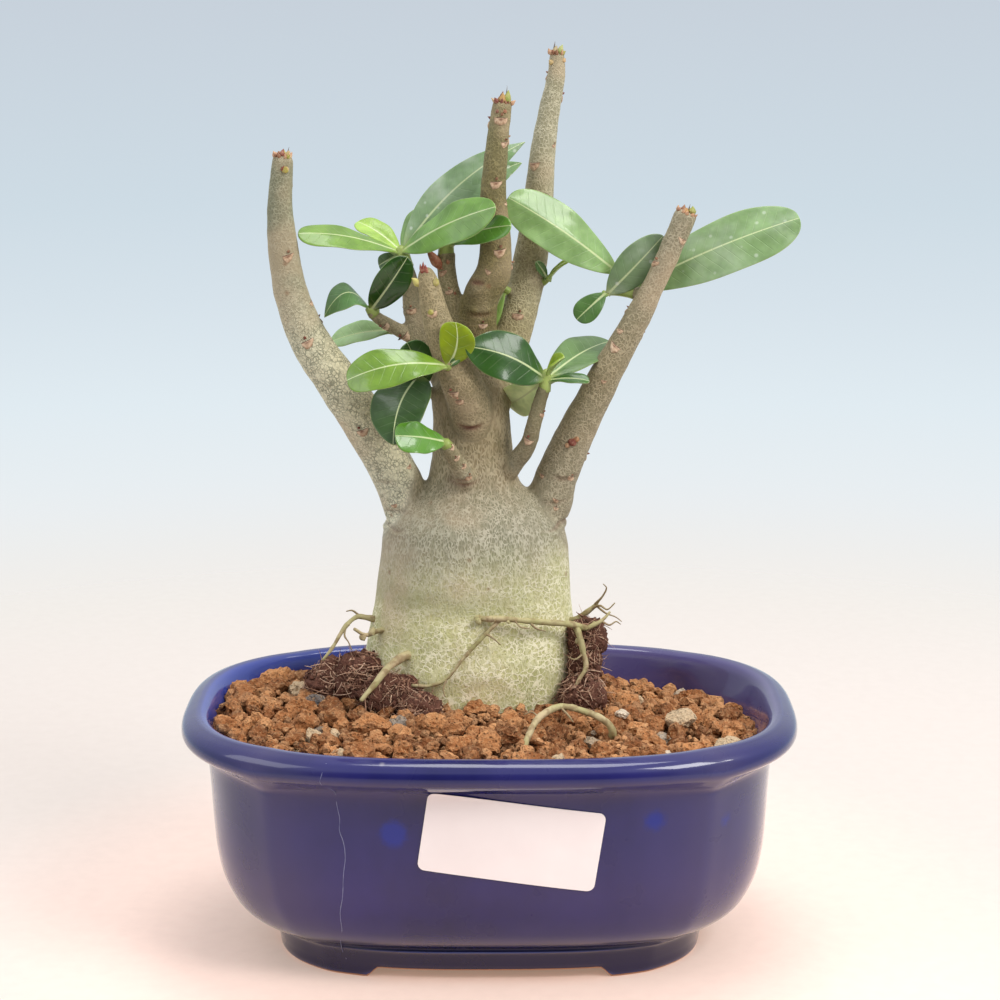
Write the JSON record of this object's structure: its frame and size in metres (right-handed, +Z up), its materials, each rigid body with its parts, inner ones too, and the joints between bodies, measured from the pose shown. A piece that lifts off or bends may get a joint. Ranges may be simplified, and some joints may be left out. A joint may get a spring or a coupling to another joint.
{
  "type": "potted desert rose plant",
  "caption": "Bonsai desert rose with a swollen trunk, cut-back branches and leaf rosettes, standing in grit in an oblong glazed bowl on feet with a blank label.",
  "frame": {"origin": "on the surface that the feet stand on, under the middle of the bowl", "axes": "+Z up along the trunk; +X to the right along the bowl's long side; +Y away from the viewer, so the label is on the -Y side"},
  "size_m": [0.1474, 0.101, 0.2153],
  "materials": {
    "cobalt_glaze": "glossy deep blue glaze, thinner and paler on the lip and ridges",
    "label_paper": "plain white sticker, smooth, blank",
    "black_mesh": "black plastic mesh",
    "clay_grit": "dry porous orange-brown clay grains",
    "dark_peat": "dark fibrous peat",
    "grey_bark": "smooth grey-green bark with a fine net of pale cracks",
    "green_leaf": "leathery green leaves with a pale midrib"
  },
  "bodies": {
    "root": {"bowl": "cobalt_glaze", "label": "label_paper", "drain_mesh_left": "black_mesh", "drain_mesh_right": "black_mesh", "grit": "clay_grit", "peat_left": "dark_peat", "peat_right": "dark_peat", "plant": "grey_bark", "rosette_left_top": "green_leaf", "rosette_left_side": "green_leaf", "rosette_middle": "green_leaf", "rosette_front": "green_leaf", "rosette_right_low": "green_leaf", "rosette_left_back": "green_leaf", "leaf_front_low": "green_leaf", "leaf_left_low": "green_leaf", "leaf_behind": "green_leaf", "rosette_right_back": "green_leaf", "shoot_tall": "green_leaf"}
  },
  "joints": []
}
